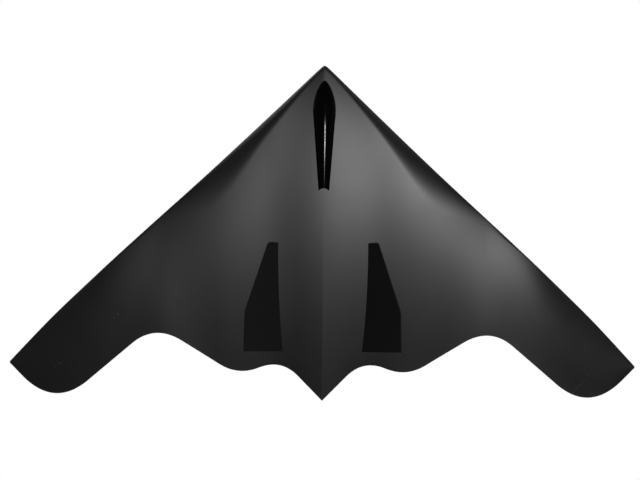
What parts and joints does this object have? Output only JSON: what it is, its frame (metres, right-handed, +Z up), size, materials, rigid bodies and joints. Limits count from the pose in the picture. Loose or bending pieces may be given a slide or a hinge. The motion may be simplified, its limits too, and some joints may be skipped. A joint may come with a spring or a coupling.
{
  "type": "rc flying wing",
  "caption": "Tailless radio-controlled flying wing with a blended centre body, canted twin fins, trailing-edge elevons and a buried ducted fan.",
  "frame": {"origin": "on the ground plane under the skids, on the centreline, below the middle of the length", "axes": "+X towards the right wing tip, +Y towards the nose, +Z up"},
  "size_m": [1.2, 0.6337, 0.1253],
  "materials": {
    "painted_foam": "satin charcoal paint on moulded foam",
    "canopy_gloss": "gloss black moulding",
    "fin_plate": "flat black composite sheet",
    "plywood": "bare birch plywood",
    "carbon_tube": "pultruded carbon tube",
    "nylon": "black moulded nylon",
    "steel_wire": "plain steel wire",
    "duct_plastic": "black formed plastic",
    "rotor_plastic": "fibre-filled moulding",
    "aluminium_turned": "turned and anodised",
    "battery_wrap": "shrink-wrapped cells",
    "strap_webbing": "woven webbing",
    "servo_case": "tinted servo case",
    "receiver_case": "moulded case",
    "cable_red": "silicone insulation",
    "cable_black": "silicone insulation"
  },
  "bodies": {
    "airframe": {"centre_upper_shell": "painted_foam", "centre_lower_shell": "painted_foam", "left_wing_panel": "painted_foam", "right_wing_panel": "painted_foam", "left_servo_cover": "painted_foam", "right_servo_cover": "painted_foam", "left_fin": "fin_plate", "right_fin": "fin_plate", "equipment_deck": "plywood", "front_former": "plywood", "middle_former": "plywood", "left_wing_spar": "carbon_tube", "right_wing_spar": "carbon_tube", "left_spar_socket": "nylon", "right_spar_socket": "nylon", "left_rear_skid": "nylon", "right_rear_skid": "nylon", "front_skid": "nylon", "left_hinge_rod": "steel_wire", "right_hinge_rod": "steel_wire", "belly_hatch_pin": "steel_wire", "inlet_duct": "duct_plastic", "exhaust_pipe": "duct_plastic", "fan_shroud": "duct_plastic", "fan_motor": "aluminium_turned", "speed_controller": "aluminium_turned", "battery_pack": "battery_wrap", "battery_strap": "strap_webbing", "left_servo": "servo_case", "right_servo": "servo_case", "radio_receiver": "receiver_case", "battery_lead": "cable_red", "motor_lead": "cable_black", "receiver_antenna": "cable_black"},
    "right_elevon": {"right_elevon": "painted_foam", "right_control_horn": "nylon"},
    "left_elevon": {"left_elevon": "painted_foam", "left_control_horn": "nylon"},
    "right_servo_arm": {"right_servo_arm": "nylon"},
    "left_servo_arm": {"left_servo_arm": "nylon"},
    "right_pushrod": {"right_pushrod": "steel_wire"},
    "left_pushrod": {"left_pushrod": "steel_wire"},
    "fan_rotor": {"fan_rotor": "rotor_plastic", "fan_spinner": "aluminium_turned"},
    "canopy": {"canopy_hatch": "canopy_gloss"},
    "belly_hatch": {"belly_hatch": "painted_foam"}
  },
  "joints": [
    {"name": "right_elevon_hinge", "type": "hinge", "parent": "airframe", "child": "right_elevon", "pos_m": [0.36839, -0.15782, 0.05842], "axis": [0.7558, -0.6356, -0.1575], "range_deg": [-25, 25]},
    {"name": "right_servo_turn", "type": "hinge", "parent": "airframe", "child": "right_servo_arm", "pos_m": [0.42363, -0.15462, 0.04391], "axis": [0.7558, -0.6356, -0.1575], "range_deg": [-25, 25]},
    {"name": "right_pushrod_pivot", "type": "hinge", "parent": "right_servo_arm", "child": "right_pushrod", "pos_m": [0.42158, -0.1529, 0.02712], "axis": [0.7558, -0.6356, -0.1575], "range_deg": [-25, 25]},
    {"name": "left_elevon_hinge", "type": "hinge", "parent": "airframe", "child": "left_elevon", "pos_m": [-0.36839, -0.15782, 0.05842], "axis": [0.7558, 0.6356, 0.1575], "range_deg": [-25, 25]},
    {"name": "left_servo_turn", "type": "hinge", "parent": "airframe", "child": "left_servo_arm", "pos_m": [-0.42363, -0.15462, 0.04391], "axis": [0.7558, 0.6356, 0.1575], "range_deg": [-25, 25]},
    {"name": "left_pushrod_pivot", "type": "hinge", "parent": "left_servo_arm", "child": "left_pushrod", "pos_m": [-0.42158, -0.1529, 0.02712], "axis": [0.7558, 0.6356, 0.1575], "range_deg": [-25, 25]},
    {"name": "fan_spin", "type": "hinge", "parent": "airframe", "child": "fan_rotor", "pos_m": [0, -0.04, 0.041], "axis": [0, 1, 0], "continuous": true},
    {"name": "canopy_hinge", "type": "hinge", "parent": "airframe", "child": "canopy", "pos_m": [0, 0.285, 0.06531], "axis": [-1, 0, 0], "range_deg": [0, 45]},
    {"name": "belly_hatch_hinge", "type": "hinge", "parent": "airframe", "child": "belly_hatch", "pos_m": [0, 0.204, 0.01552], "axis": [1, 0, 0], "range_deg": [0, 80]}
  ],
  "couplings": [
    {"joint": "right_servo_turn", "follows": "right_elevon_hinge", "ratio": 1},
    {"joint": "right_pushrod_pivot", "follows": "right_elevon_hinge", "ratio": -1},
    {"joint": "left_servo_turn", "follows": "left_elevon_hinge", "ratio": 1},
    {"joint": "left_pushrod_pivot", "follows": "left_elevon_hinge", "ratio": -1}
  ]
}
